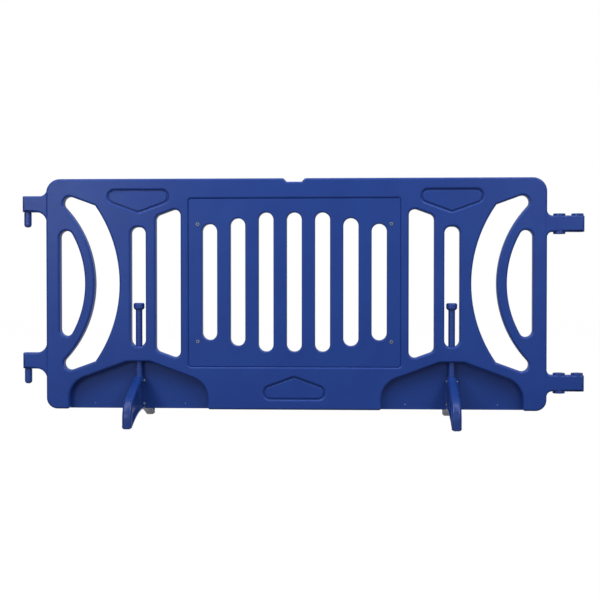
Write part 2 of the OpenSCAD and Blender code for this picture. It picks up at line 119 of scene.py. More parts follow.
well_half_l = 0.280
well_flat_l = 0.092
well_flat_r = 0.004
well_h = 0.191
well_top_z = bottom_z + well_h
well_shoulder_r = 0.090
well_shoulder_z = well_top_z - (well_half_l - well_flat_l / 2) * slope
well_mouth_r = 0.0095

corner_step = 7.5
bow_step = 3


def arc(centre, r, start, end, step):
    """Points along an arc, with its angles in degrees."""
    count = max(1, math.ceil(abs(end - start) / step))
    angles = [math.radians(start + (end - start) * i / count) for i in range(count + 1)]
    return [(centre[0] + r * math.cos(a), centre[1] + r * math.sin(a)) for a in angles]


def rounded(corners):
    """An outline through corners given as (x, z, radius)."""
    outline = []
    for i, (x, z, r) in enumerate(corners):
        corner = Vector((x, z))
        before = (Vector(corners[i - 1][:2]) - corner).normalized()
        after = (Vector(corners[(i + 1) % len(corners)][:2]) - corner).normalized()
        half = before.angle(after) / 2
        if r == 0:
            outline.append((x, z))
            continue
        centre = corner + (before + after).normalized() * r / math.sin(half)
        reach = corner + before * r / math.tan(half) - centre
        start = math.degrees(math.atan2(reach.y, reach.x))
        turn = 180 - 2 * math.degrees(half)
        if before.cross(after) > 0:
            turn = -turn
        outline += arc(centre, r, start, start + turn, corner_step)
    return outline


def mirrored(outline):
    """The same outline at the other end of the panel."""
    return [(-x, z) for x, z in reversed(outline)]


def shifted(outline, x, z=0):
    """The same outline moved along and up."""
    return [(x + px, z + pz) for px, pz in outline]


def pick(*pieces):
    """Selects these pieces alone, with the first one active."""
    bpy.ops.object.select_all(action='DESELECT')
    for piece in pieces:
        piece.select_set(True)
    bpy.context.view_layer.objects.active = pieces[0]


def moulded_plate(name, outlines, front, back, edge_r):
    """A moulding drawn in X and Z as an outline with holes, from y = front to y = back."""
    drawing = bpy.data.curves.new(name, 'CURVE')
    drawing.dimensions = '2D'
    drawing.fill_mode = 'BOTH'
    drawing.extrude = (back - front) / 2 - edge_r
    drawing.bevel_depth = edge_r
    drawing.bevel_resolution = 3
    drawing.offset = -edge_r
    for outline in outlines:
        spline = drawing.splines.new('POLY')
        spline.points.add(len(outline) - 1)
        spline.use_cyclic_u = True
        for point, (x, z) in zip(spline.points, outline):
            point.co = (x, z, 0, 1)
    plate = bpy.data.objects.new(name, drawing)
    bpy.context.collection.objects.link(plate)
    pick(plate)
    bpy.ops.object.convert(target='MESH')
    plate.location.y = (front + back) / 2
    plate.rotation_euler.x = math.pi / 2
    bpy.ops.object.transform_apply(location=True, rotation=True, scale=True)
    bpy.ops.object.mode_set(mode='EDIT')
    bpy.ops.mesh.select_all(action='SELECT')
    bpy.ops.mesh.remove_doubles(threshold=0.00002)
    bpy.ops.mesh.normals_make_consistent(inside=False)
    bpy.ops.object.mode_set(mode='OBJECT')
    return plate


def cut_away(piece, cutter):
    """Takes the cutter's volume out of a piece."""
    pick(piece)
    bpy.ops.object.modifier_add(type='BOOLEAN')
    boolean = piece.modifiers[-1]
    boolean.operation = 'DIFFERENCE'
    boolean.solver = 'EXACT'
    boolean.object = cutter
    bpy.ops.object.modifier_apply(modifier=boolean.name)
    bpy.data.objects.remove(cutter)


def well_outline():
    """The mouth of a foot well, round the post's axis, from its left foot to its right."""
    half = well_flat_l / 2
    return [
        (-well_half_l, bottom_z, well_mouth_r), (-well_half_l, well_shoulder_z, well_shoulder_r),
        (-half, well_top_z, well_flat_r), (half, well_top_z, well_flat_r),
        (well_half_l, well_shoulder_z, well_shoulder_r), (well_half_l, bottom_z, well_mouth_r),
    ]


def pad_outline(grow=0.0):
    """A five-sided pad that hangs from its level edge and points down."""
    half = pad_w / 2 + grow
    low = -pad_side_h - grow * (1 - slope)
    point = low - half * slope
    r = pad_corner_r + grow
    point_r = pad_point_r + grow
    return rounded([(-half, low, r), (0, point, point_r), (half, low, r), (half, grow, r), (-half, grow, r)])


def pads(grow=0.0):
    """The outlines of all three pads, grown all round."""
    high = shifted(pad_outline(grow), post_x, top_z - high_pad_margin)
    low = [(x, bottom_z + low_pad_margin - z) for x, z in pad_outline(grow)]
    return [high, mirrored(high), low]


left_well = [(x - post_x, z, r) for x, z, r in well_outline()]
right_well = [(x + post_x, z, r) for x, z, r in well_outline()]
body_outline = rounded(
    [(-edge_x, bottom_z, bottom_corner_r)] + left_well + right_well + [
        (edge_x, bottom_z, bottom_corner_r), (edge_x, top_z, top_corner_r),
        (grip_w / 2, top_z, grip_r), (grip_floor_w / 2, top_z - grip_d, grip_floor_r),
        (-grip_floor_w / 2, top_z - grip_d, grip_floor_r), (-grip_w / 2, top_z, grip_r),
        (-edge_x, top_z, top_corner_r),
    ]
)


def field_rim(grow=0.0):
    """The outline of the recessed field, grown all round."""
    x = field_w / 2 - rim_side + grow
    low = field_low_z - rim_low - grow
    high = field_high_z + rim_high + grow
    r = field_corner_r + grow
    return rounded([(-x, low, r), (x, low, r), (x, high, r), (-x, high, r)])


window_low = window_rise - window_w * slope
straight_window = rounded([
    (window_x, mid_z - window_rise, window_corner_r),
    (window_x + window_w, mid_z - window_low, window_corner_r),
    (window_x + window_w, mid_z + window_low, window_corner_r),
    (window_x, mid_z + window_rise, window_corner_r),
])
post_slot = rounded([
    (post_x - post_slot_w / 2, post_slot_low_z, post_slot_corner_r),
    (post_x + post_slot_w / 2, post_slot_low_z, post_slot_corner_r),
    (post_x + post_slot_w / 2, post_slot_high_z, post_slot_corner_r),
    (post_x - post_slot_w / 2, post_slot_high_z, post_slot_corner_r),
])

# The bows of an end share one centre, which lies outside the panel
crescent_sag = crescent_sag_share * crescent_rise
crescent_out_r = (crescent_rise ** 2 + crescent_sag ** 2) / (2 * crescent_sag)
crescent_in_r = crescent_out_r - crescent_w
bow_r = crescent_in_r - bow_rib
bow_centre = Vector((crescent_x + crescent_out_r, mid_z))

corner_a = math.degrees(math.asin(crescent_rise / crescent_out_r))
end_r = crescent_out_r * math.sin(math.radians(corner_a + rake))
tip_path_r = crescent_in_r + crescent_tip_r
tip_a = math.degrees(math.asin((end_r - crescent_tip_r) / tip_path_r)) - rake
tip = Vector((-math.cos(math.radians(tip_a)), math.sin(math.radians(tip_a)))) * tip_path_r
crescent = (
    arc(bow_centre, crescent_out_r, 180 - corner_a, 180 + corner_a, bow_step)
    + arc(bow_centre + Vector((tip.x, -tip.y)), crescent_tip_r, -90 - rake, tip_a, corner_step)
    + arc(bow_centre, crescent_in_r, 180 + tip_a, 180 - tip_a, bow_step)[1:-1]
    + arc(bow_centre + tip, crescent_tip_r, -tip_a, 90 + rake, corner_step)
)

bow_tip_x = bow_side_x - bow_tip_r - bow_centre.x
bow_tip_z = math.sqrt((bow_r - bow_tip_r) ** 2 - bow_tip_x ** 2)
bow_tip_a = math.degrees(math.atan2(bow_tip_z, -bow_tip_x))
bow_window = (
    arc(bow_centre, bow_r, 180 - bow_tip_a, 180 + bow_tip_a, bow_step)
    + arc(bow_centre + Vector((bow_tip_x, -bow_tip_z)), bow_tip_r, 180 + bow_tip_a, 360, corner_step)[1:]
    + arc(bow_centre + Vector((bow_tip_x, bow_tip_z)), bow_tip_r, 0, 180 - bow_tip_a, corner_step)[:-1]
)

windows = [straight_window, post_slot, crescent, bow_window]
windows += [mirrored(outline) for outline in windows]
panel = moulded_plate(
    "moulded_panel",
    [shifted(outline, middle_x) for outline in [body_outline, field_rim()] + pads() + windows],
    -half_t, half_t, edge_round,
)

# Guides of the posts
# Each post slides in a plain round hole between the roof of its well and the slot above.
post_gap = 0.001
guide_r = (right_post_high.x - right_post_low.x) / 2 + post_gap
guide_overrun = 0.010
guide_low_z = well_top_z - guide_overrun
guide_high_z = post_slot_low_z + guide_overrun
for side in (-1, 1):
    bpy.ops.mesh.primitive_cylinder_add(
        vertices=48, radius=guide_r, depth=guide_high_z - guide_low_z,
        location=(middle_x + side * post_x, 0, (guide_low_z + guide_high_z) / 2),
    )
    cut_away(panel, bpy.context.object)

# Recessed field
# The middle of the panel lies 3 mm below both faces, with a soft step round it, and holds seven
# upright slots. It takes a sign plate on four blind holes near its corners.
recess_d = 0.003
field_y = recess_d - half_t
field_lap = 0.0015
slot_w = 0.060
slot_count = 7
slot_margin = 0.086
slot_pitch = (field_w - 2 * slot_margin) / (slot_count - 1)
slot_low_margin = 0.057
slot_low_z = field_low_z + slot_low_margin
slot_high_margin = 0.052
slot_high_z = field_high_z - slot_high_margin
slot_step = 0.023
field_holes = []
for i in range(slot_count):
    steps = max(0, abs(i - slot_count // 2) - 1)
    x = (i - slot_count // 2) * slot_pitch
    low = slot_low_z + steps * slot_step
    high = slot_high_z - steps * slot_step
    half = slot_w / 2
    field_holes.append(rounded([
        (x - half, low, half), (x + half, low, half), (x + half, high, half), (x - half, high, half),
    ]))
field = moulded_plate(
    "field", [shifted(outline, middle_x) for outline in [field_rim(field_lap)] + field_holes],
    field_y, -field_y, edge_r=0.005,
)

sign_hole_r = 0.005
sign_hole_l = 0.028
sign_side = 0.0385
sign_x = field_w / 2 - sign_side
sign_rise = 0.098
sign_drop = 0.099
sign_levels = (field_low_z + sign_rise, field_high_z - sign_drop)
sign_holes = [(middle_x + x, z) for x in (-sign_x, sign_x) for z in sign_levels]
for x, z in sign_holes:
    bpy.ops.mesh.primitive_cylinder_add(
        vertices=24, radius=sign_hole_r, depth=2 * sign_hole_l, location=(x, field_y, z),
        rotation=(math.pi / 2, 0, 0),
    )
    cut_away(field, bpy.context.object)

# Pads
# Three five-sided pads for stickers lie as deep as the field, each inside a groove of its own.
groove_d = 0.008
groove_y = groove_d - half_t
groove_tuck = 0.002
pad_gap = 0.005
pad_plates = [
    moulded_plate("pad_groove", [shifted(outline, middle_x)], groove_y, -groove_y, edge_r=0.001)
    for outline in pads(groove_tuck)
]
pad_plates += [
    moulded_plate("pad", [shifted(outline, middle_x)], field_y, -field_y, edge_r=0.003)
    for outline in pads(-pad_gap)
]

# Back walls of the foot wells
# A thin wall closes each well behind the stowed foot. The foot passes through a notch in it, and
# rain drains through two small holes.
back_wall_t = 0.004
back_lap = 0.012
back_proud = 0.0003
foot_low, foot_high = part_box("right_foot")
foot_half_w = (foot_high.x - foot_low.x) / 2
foot_gap = 0.0003
foot_room = foot_half_w + foot_gap
crown_r = 0.011
notch_r = crown_r + foot_gap
mouth_lap = 0.005
mouth_x = well_half_l + mouth_lap
drain_r = 0.0011
drain_x = 0.184
drain_rise = 0.020
drain_z = bottom_z + drain_rise
lap_rise = 0.016
lap_z = bottom_z + lap_rise
lap_x = well_half_l + back_lap
lap_top_z = well_top_z + back_lap
back_outline = rounded([
    (-mouth_x, bottom_z, 0), (-foot_room, bottom_z, 0), (-foot_room, foot_high.z, notch_r),
    (foot_room, foot_high.z, notch_r), (foot_room, bottom_z, 0), (mouth_x, bottom_z, 0),
    (mouth_x, lap_z, 0), (lap_x, lap_z + back_lap, 0),
    (lap_x, well_shoulder_z, well_shoulder_r), (well_flat_l / 2, lap_top_z, 0),
    (-well_flat_l / 2, lap_top_z, 0), (-lap_x, well_shoulder_z, well_shoulder_r),
    (-lap_x, lap_z + back_lap, 0), (-mouth_x, lap_z, 0),
])
drains = [arc((x, drain_z), drain_r, start=0, end=345, step=15) for x in (-drain_x, drain_x)]
back_walls = [
    moulded_plate(
        "back_wall",
        [shifted(outline, middle_x + side * post_x) for outline in [back_outline] + drains],
        half_t - back_wall_t, half_t + back_proud, edge_r=0.0003,
    )
    for side in (-1, 1)
]


# Hook arms
# Two blunt arms on the left edge carry the hook pins. They are moulded with the panel, a little
# thinner than it, and run into its edge with fillets.
arm_root = 0.030
arm_corner_r = 0.004
arm_edge_r = 0.008


def arm_outline(reach, low_z, high_z, low_fillet_r, high_fillet_r):
    """An arm on the right-hand edge, rooted inside the panel. A fillet above the start of the panel's
    corner touches the corner's arc instead of the edge."""
    root_x = edge_x - arm_root
    end_x = edge_x + reach
    end = rounded([
        (root_x, low_z, 0), (end_x, low_z, arm_corner_r), (end_x, high_z, arm_corner_r), (root_x, high_z, 0),
    ])[1:-1]
    rise = max(0, high_z + high_fillet_r - (top_z - top_corner_r))
    run = math.sqrt((top_corner_r + high_fillet_r) ** 2 - rise ** 2)
    touch = 180 + math.degrees(math.atan2(rise, run))
    high_centre = (edge_x - top_corner_r + run, high_z + high_fillet_r)
    high_fillet = arc(high_centre, high_fillet_r, 270, touch, corner_step)
    return (
        [(root_x, low_z - low_fillet_r)]
        + arc((edge_x + low_fillet_r, low_z - low_fillet_r), low_fillet_r, 180, 90, corner_step)
        + end + high_fillet + [(root_x, high_fillet[-1][1])]
    )


hook_reach = middle_x - edge_x - panel_low.x
hook_h = 0.065
hook_half_t = 0.020
upper_pin_low, upper_pin_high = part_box("upper_hook_pin")
lower_pin_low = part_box("lower_hook_pin")[0]
pin_l = 0.061
hook_levels = (upper_pin_low.z + pin_l, lower_pin_low.z + pin_l)
arms = []
hook_fillet_r = 0.042
hook_top_fillet_r = 0.030
for z, top_fillet_r in zip(hook_levels, (hook_top_fillet_r, hook_fillet_r)):
    outline = mirrored(arm_outline(hook_reach, z, z + hook_h, hook_fillet_r, top_fillet_r))
    outline = shifted(outline, middle_x)
    arms.append(moulded_plate("hook_arm", [outline], -hook_half_t, hook_half_t, arm_edge_r))

# Socket arms
# Two longer arms on the right edge hold a pair of upright eyes each, into which the pins of the
# next barrier drop.
socket_reach = panel_high.x - middle_x - edge_x
socket_h = 0.065
socket_half_t = 0.024
inner_eye_x = 0.050
outer_eye_x = 0.121
eye_r = 0.020
socket_fillet_r = 0.021
socket_levels = (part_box("upper_outer_bush")[0].z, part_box("lower_outer_bush")[0].z)
for z in socket_levels:
    outline = arm_outline(socket_reach, z, z + socket_h, socket_fillet_r, socket_fillet_r)
    outline = shifted(outline, middle_x)
    arm = moulded_plate("socket_arm", [outline], -socket_half_t, socket_half_t, arm_edge_r)
    for eye_x in (inner_eye_x, outer_eye_x):
        bpy.ops.mesh.primitive_cylinder_add(
            vertices=48, radius=eye_r, depth=2 * socket_h,
            location=(middle_x + edge_x + eye_x, 0, z + socket_h / 2),
        )
        cut_away(arm, bpy.context.object)
    arms.append(arm)


def merge_flats(piece, angle=0.5):
    """Makes one face of each flat that fills and cuts have left in many."""
    pick(piece)
    bpy.ops.object.mode_set(mode='EDIT')
    bpy.ops.mesh.select_all(action='SELECT')
    bpy.ops.mesh.dissolve_limited(angle_limit=math.radians(angle))
    bpy.ops.object.mode_set(mode='OBJECT')


def smooth(piece, angle=40):
    """Smooth rounds that leave the flat faces flat."""
    pick(piece)
    bpy.ops.object.shade_smooth_by_angle(angle=math.radians(angle))
    bpy.ops.object.modifier_add(type='WEIGHTED_NORMAL')
    weighted = piece.modifiers[-1]
    weighted.keep_sharp = True
    bpy.ops.object.modifier_apply(modifier=weighted.name)


pick(panel, field, *pad_plates, *back_walls, *arms)
bpy.ops.object.join()
merge_flats(panel)
smooth(panel)
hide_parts("panel")
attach(panel, "barrier")


# Plastic of the panel
# Blue polyethylene, coloured through. The mould leaves a fine pebbled skin, a faint cloudiness in
# the pigment and a thin parting line along the middle of every edge.
def new_group(name, inputs, outputs):
    """An empty shader node group with its named float, colour and vector sockets."""
    group = bpy.data.node_groups.new(name, 'ShaderNodeTree')
    for direction, sockets in (('INPUT', inputs), ('OUTPUT', outputs)):
        for label, kind in sockets:
            group.interface.new_socket(name=label, in_out=direction, socket_type='NodeSocket' + kind)
    start = group.nodes.new('NodeGroupInput')
    end = group.nodes.new('NodeGroupOutput')
    return group, start, end


def add_node(tree, kind, values=None, **settings):
    """A node with its settings and the values of its unlinked inputs."""
    node = tree.nodes.new('ShaderNode' + kind)
    for key, value in settings.items():
        setattr(node, key, value)
    for key, value in (values or {}).items():
        node.inputs[key].default_value = value
    return node


skin, skin_in, skin_out = new_group(
    "moulded_skin",
    [("Position", 'Vector'), ("Cloud Scale", 'Float'), ("Pebble Scale", 'Float')],
    [("Cloud", 'Float'), ("Pebble", 'Float'), ("Scuff", 'Float')],
)
cloud = add_node(skin, 'TexNoise', {"Detail": 4.0, "Roughness": 0.55})
skin.links.new(skin_in.outputs["Position"], cloud.inputs["Vector"])
skin.links.new(skin_in.outputs["Cloud Scale"], cloud.inputs["Scale"])
cloud_range = add_node(skin, 'MapRange', {"From Min": 0.30, "From Max": 0.70})
skin.links.new(cloud.outputs["Fac"], cloud_range.inputs["Value"])
skin.links.new(cloud_range.outputs["Result"], skin_out.inputs["Cloud"])
pebble = add_node(skin, 'TexVoronoi', {"Randomness": 1.0}, feature='SMOOTH_F1')
skin.links.new(skin_in.outputs["Position"], pebble.inputs["Vector"])
skin.links.new(skin_in.outputs["Pebble Scale"], pebble.inputs["Scale"])
skin.links.new(pebble.outputs["Distance"], skin_out.inputs["Pebble"])
stretch = add_node(skin, 'Mapping', {"Scale": (1.0, 1.0, 7.0), "Rotation": (0.3, 0.5, 0.2)})
skin.links.new(skin_in.outputs["Position"], stretch.inputs["Vector"])
scuff = add_node(skin, 'TexNoise', {"Scale": 14.0, "Detail": 6.0, "Roughness": 0.7})
skin.links.new(stretch.outputs["Vector"], scuff.inputs["Vector"])
scuff_range = add_node(skin, 'MapRange', {"From Min": 0.52, "From Max": 0.75})
skin.links.new(scuff.outputs["Fac"], scuff_range.inputs["Value"])
skin.links.new(scuff_range.outputs["Result"], skin_out.inputs["Scuff"])

seam, seam_in, seam_out = new_group(
    "parting_line", [("Offset", 'Float'), ("Width", 'Float')], [("Line", 'Float')],
)
distance = add_node(seam, 'Math', operation='ABSOLUTE')
seam.links.new(seam_in.outputs["Offset"], distance.inputs[0])
falloff = add_node(
    seam, 'MapRange', {"From Min": 0.0, "To Min": 1.0, "To Max": 0.0}, interpolation_type='SMOOTHSTEP',
)
seam.links.new(distance.outputs["Value"], falloff.inputs["Value"])
seam.links.new(seam_in.outputs["Width"], falloff.inputs["From Max"])
seam.links.new(falloff.outputs["Result"], seam_out.inputs["Line"])


def moulded_plastic(name, deep, pale, sheen_low, sheen_high, shine, seam_of=None):
    """A blue plastic between two tones and two roughnesses, with its parting line where seam_of gives 0."""
    material = bpy.data.materials.new(name)
    material.use_nodes = True
    tree = material.node_tree
    shader = tree.nodes["Principled BSDF"]
    shader.inputs["Specular IOR Level"].default_value = shine
    place = add_node(tree, 'TexCoord')
    surface = add_node(tree, 'Group', node_tree=skin)
    surface.inputs["Cloud Scale"].default_value = 5.0
    surface.inputs["Pebble Scale"].default_value = 420.0
    tree.links.new(place.outputs["Object"], surface.inputs["Position"])
    tone = add_node(tree, 'Mix', data_type='RGBA')
    tone.inputs["A"].default_value = (*deep, 1)
    tone.inputs["B"].default_value = (*pale, 1)
    tree.links.new(surface.outputs["Cloud"], tone.inputs["Factor"])
    tree.links.new(tone.outputs["Result"], shader.inputs["Base Color"])
    gloss = add_node(tree, 'MapRange', {"To Min": sheen_low, "To Max": sheen_high})
    tree.links.new(surface.outputs["Scuff"], gloss.inputs["Value"])
    tree.links.new(gloss.outputs["Result"], shader.inputs["Roughness"])
    grain = add_node(tree, 'Bump', {"Strength": 0.05, "Distance": 0.0004})
    tree.links.new(surface.outputs["Pebble"], grain.inputs["Height"])
    tree.links.new(grain.outputs["Normal"], shader.inputs["Normal"])
    if seam_of:
        axes = add_node(tree, 'SeparateXYZ')
        tree.links.new(place.outputs["Object"], axes.inputs["Vector"])
        line = add_node(tree, 'Group', node_tree=seam)
        line.inputs["Width"].default_value = 0.0009
        tree.links.new(seam_of(tree, axes), line.inputs["Offset"])
        ridge = add_node(tree, 'Bump', {"Strength": 0.5, "Distance": 0.0004})
        tree.links.new(line.outputs["Line"], ridge.inputs["Height"])
        tree.links.new(grain.outputs["Normal"], ridge.inputs["Normal"])
        tree.links.new(ridge.outputs["Normal"], shader.inputs["Normal"])
    return material


def wear(piece, material):
    """Gives a piece one material alone."""
    piece.data.materials.clear()
    piece.data.materials.append(material)


panel_plastic = moulded_plastic(
    "panel_plastic", deep=(0.0105, 0.0398, 0.216), pale=(0.0130, 0.0478, 0.243),
    sheen_low=0.35, sheen_high=0.42, shine=0.2, seam_of=lambda tree, axes: axes.outputs["Y"],
)
wear(panel, panel_plastic)


# Hook pins
# Solid turned plastic pins, pushed up into the arms with a shadow gap at the root and a round tip.
def turned(name, rings, place, hollow=False, facets=64):
    """A round piece about an upright axis through place, from rings of (radius, height) in order."""
    first_r, first_z = rings[0]
    x, y, z = place
    bpy.ops.object.select_all(action='DESELECT')
    bpy.ops.mesh.primitive_circle_add(
        vertices=facets, radius=first_r, fill_type='NOTHING' if hollow else 'NGON',
        location=(x, y, z + first_z),
    )
    piece = bpy.context.object
    piece.name = name
    bpy.ops.object.transform_apply(location=True, rotation=True, scale=True)
    bpy.ops.object.mode_set(mode='EDIT')
    bpy.ops.mesh.select_all(action='SELECT')
    for (r0, z0), (r1, z1) in zip(rings, rings[1:]):
        bpy.ops.mesh.extrude_region_move(TRANSFORM_OT_translate={"value": (0, 0, z1 - z0)})
        bpy.ops.transform.resize(value=(r1 / r0, r1 / r0, 1), center_override=(x, y, z + z1))
    if hollow:
        bpy.ops.mesh.select_all(action='DESELECT')
        bpy.ops.mesh.select_non_manifold()
        bpy.ops.mesh.bridge_edge_loops()
    bpy.ops.mesh.select_all(action='SELECT')
    bpy.ops.mesh.normals_make_consistent(inside=False)
    bpy.ops.object.mode_set(mode='OBJECT')
    return piece


def ease(piece, width, angle=35):
    """Rounds every edge of a piece that is sharper than angle."""
    pick(piece)
    bpy.ops.object.modifier_add(type='BEVEL')
    bevel = piece.modifiers[-1]
    bevel.width = width
    bevel.segments = 3
    bevel.limit_method = 'ANGLE'
    bevel.angle_limit = math.radians(angle)
    bpy.ops.object.modifier_apply(modifier=bevel.name)


fitting_plastic = moulded_plastic(
    "fitting_plastic", deep=(0.0095, 0.036, 0.205), pale=(0.012, 0.044, 0.235),
    sheen_low=0.26, sheen_high=0.34, shine=0.4,
)

pin_r = (upper_pin_high.x - upper_pin_low.x) / 2
pin_x = (upper_pin_high.x + upper_pin_low.x) / 2
pin_tip_r = 0.012
pin_groove = 0.0015
pin_root_l = 0.012
pin_rings = []
for degrees in range(0, 91, 10):
    turn = math.radians(degrees)
    ring_r = pin_r - pin_tip_r + pin_tip_r * math.sin(turn)
    pin_rings.append((ring_r, -pin_l + pin_tip_r * (1 - math.cos(turn))))
pin_neck_r = pin_r - pin_groove
pin_rings += [(pin_r, -2 * pin_groove), (pin_neck_r, -pin_groove), (pin_neck_r, pin_root_l)]
for name, z in zip(("upper_hook_pin", "lower_hook_pin"), hook_levels):
    pin = turned("turned_" + name, pin_rings, (pin_x, 0, z))
    smooth(pin)
    wear(pin, fitting_plastic)
    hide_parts(name)
    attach(pin, "barrier")

# Socket bushes
# Flanged bushes line the eyes. The inner eye has one from above and one from below, and the outer
# eye has a single long one from above.
bore_r = 0.016
collar_r = 0.024
collar_h = 0.008
collar_root = 0.010
bush_fit = 0.0001
body_r = eye_r - bush_fit
for arm_name, z in zip(("upper", "lower"), socket_levels):
    for kind, eye_x, body_l in (
        ("inner_top", inner_eye_x, socket_h / 2), ("inner_bottom", inner_eye_x, socket_h / 2),
        ("outer", outer_eye_x, socket_h),
    ):
        flip = -1 if kind == "inner_bottom" else 1
        seat_z = z if kind == "inner_bottom" else z + socket_h
        rings = [
            (bore_r, -body_l), (body_r, -body_l), (body_r, -collar_root), (collar_r, -collar_root),
            (collar_r, collar_h), (bore_r, collar_h),
        ]
        bush = turned(
            "%s_%s_bush_liner" % (arm_name, kind), [(r, flip * h) for r, h in rings],
            (middle_x + edge_x + eye_x, 0, seat_z), hollow=True,
        )
        ease(bush, width=0.0015)
        smooth(bush)
        wear(bush, fitting_plastic)
        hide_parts("%s_%s_bush" % (arm_name, kind))
        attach(bush, "barrier")

# Feet
# Each foot is an arched plastic moulding with a crowned rim, a pocket in each side and a solid hub
# in its middle that clamps the post.
foot_half_l = foot_high.y
foot_h = foot_high.z
foot_flat_l = 0.064
foot_end_r = 0.090
foot_toe_r = 0.005
foot_top_r = 0.020
foot_shoulder_z = foot_h - (foot_half_l - foot_flat_l / 2) * slope
arch_h = 0.048
foot_pad_l = 0.020
arch_half_l = foot_half_l - foot_pad_l
arch_r = (arch_half_l ** 2 + arch_h ** 2) / (2 * arch_h)
foot_rim = 0.014
web_d = 0.012
hub_half_l = 0.030


def arch_z(y, lift=0.0):
    """Height of the arch under a foot at a distance from its middle."""
    return arch_h - arch_r + math.sqrt((arch_r + lift) ** 2 - y ** 2)


arch_angle = math.degrees(math.asin(arch_half_l / arch_r))
foot_outline = (
    rounded([(-foot_half_l, foot_shoulder_z, 0), (-foot_half_l, 0, foot_toe_r), (-arch_half_l, 0, 0)])[1:-1]
    + arc((0, arch_h - arch_r), arch_r, 90 + arch_angle, 90 - arch_angle, bow_step)
    + rounded([
        (arch_half_l, 0, 0), (foot_half_l, 0, foot_toe_r), (foot_half_l, foot_shoulder_z, foot_end_r),
        (foot_flat_l / 2, foot_h, foot_top_r), (-foot_flat_l / 2, foot_h, foot_top_r),
        (-foot_half_l, foot_shoulder_z, foot_end_r), (-foot_half_l, 0, 0),
    ])[1:-1]
)

rim_cos = math.cos(math.radians(rake))
pocket_y = foot_half_l - foot_rim
pocket_shoulder_z = foot_h - (pocket_y - foot_flat_l / 2) * slope - foot_rim / rim_cos
pocket_hub_z = foot_h - (hub_half_l - foot_flat_l / 2) * slope - foot_rim / rim_cos
pocket_steps = 12
pocket_floor = [
    (y, arch_z(y, foot_rim), 0)
    for y in (hub_half_l + (pocket_y - hub_half_l) * i / pocket_steps for i in range(1, pocket_steps))
]
pocket_top_r = 0.010
pocket_hub_r = 0.008
pocket_toe_r = 0.006
pocket_outline = rounded([
    (hub_half_l, pocket_hub_z, pocket_top_r), (hub_half_l, arch_z(hub_half_l, foot_rim), pocket_hub_r),
    *pocket_floor, (pocket_y, arch_z(pocket_y, foot_rim), pocket_toe_r),
    (pocket_y, pocket_shoulder_z, foot_end_r - foot_rim),
])


def turn_to_side(piece, x):
    """Swings a plate drawn along X so that it runs front to back at a given x."""
    pick(piece)
    piece.rotation_euler.z = math.pi / 2
    piece.location.x = x
    bpy.ops.object.transform_apply(location=True, rotation=True, scale=True)


# The feet's blue is darker than the other plastic parts' as painted shade. It stands in for the light from
# above, which reaches their sloping tops less than these lamps give.
foot_plastic = moulded_plastic(
    "foot_plastic", deep=(0.0078, 0.0315, 0.174), pale=(0.0098, 0.0374, 0.197),
    sheen_low=0.30, sheen_high=0.40, shine=0.3,
)
for side_name, side in (("left", -1), ("right", 1)):
    foot_x = middle_x + side * post_x
    foot = moulded_plate(side_name + "_arched_foot", [foot_outline], -foot_half_w, foot_half_w, crown_r)
    for face in (-1, 1):
        for end in (-1, 1):
            outline = pocket_outline if end > 0 else mirrored(pocket_outline)
            deep, out = sorted((face * (foot_half_w - web_d), face * (foot_half_w + web_d)))
            cut_away(foot, moulded_plate("pocket", [outline], deep, out, edge_r=0.004))
    merge_flats(foot)
    ease(foot, width=0.002, angle=50)
    turn_to_side(foot, foot_x)
    smooth(foot)
    wear(foot, foot_plastic)
    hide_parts(side_name + "_foot")
    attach(foot, side_name + "_foot_set")

# Posts
# A round bar stands in each hub and slides through the panel's guide.
post_r = guide_r - post_gap
for side_name, (low, high) in (
    ("left", (left_post_low, left_post_high)), ("right", (right_post_low, right_post_high)),
):
    post = turned(
        side_name + "_guide_post", [(post_r, low.z), (post_r, high.z)], ((low.x + high.x) / 2, 0, 0),
    )
    ease(post, width=0.001)
    smooth(post)
    wear(post, fitting_plastic)
    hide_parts(side_name + "_post")
    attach(post, side_name + "_foot_set")

# Post caps
# A cap with a conical underside closes each post and stops the foot when the panel is lifted.
# The head of its screw lies in a round seat in the top.
cap_neck_r = 0.016
cap_cone_h = 0.007
cap_chamfer = 0.004
seat_r = 0.0062
seat_d = 0.004
seat_floor_r = post_r * 0.2
for side_name, side in (("left", -1), ("right", 1)):
    cap_low, cap_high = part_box(side_name + "_post_cap")
    cap_r = (cap_high.x - cap_low.x) / 2
    cap_h = cap_high.z - cap_low.z
    cap_rings = [
        (post_r, 0), (cap_neck_r, 0), (cap_r, cap_cone_h), (cap_r, cap_h - cap_chamfer),
        (cap_r - cap_chamfer, cap_h), (seat_r, cap_h), (seat_r, cap_h - seat_d),
        (seat_floor_r, cap_h - seat_d),
    ]
    cap = turned(side_name + "_stop_cap", cap_rings, (middle_x + side * post_x, 0, cap_low.z))
    ease(cap, width=0.0015)
    smooth(cap)
    wear(cap, fitting_plastic)
    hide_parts(side_name + "_post_cap")
    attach(cap, side_name + "_foot_set")

# Steel fasteners
# Zinc-plated screws hold the caps, two bolts with nuts cross each hub, and a threaded insert with a
# flange sits in each sign hole.
steel = bpy.data.materials.new("zinc_steel")
steel.use_nodes = True
steel_tree = steel.node_tree
steel_shader = steel_tree.nodes["Principled BSDF"]
steel_shader.inputs["Metallic"].default_value = 1.0
steel_place = add_node(steel_tree, 'TexCoord')
steel_skin = add_node(steel_tree, 'Group', node_tree=skin)
steel_skin.inputs["Cloud Scale"].default_value = 160.0
steel_skin.inputs["Pebble Scale"].default_value = 900.0
steel_tree.links.new(steel_place.outputs["Object"], steel_skin.inputs["Position"])
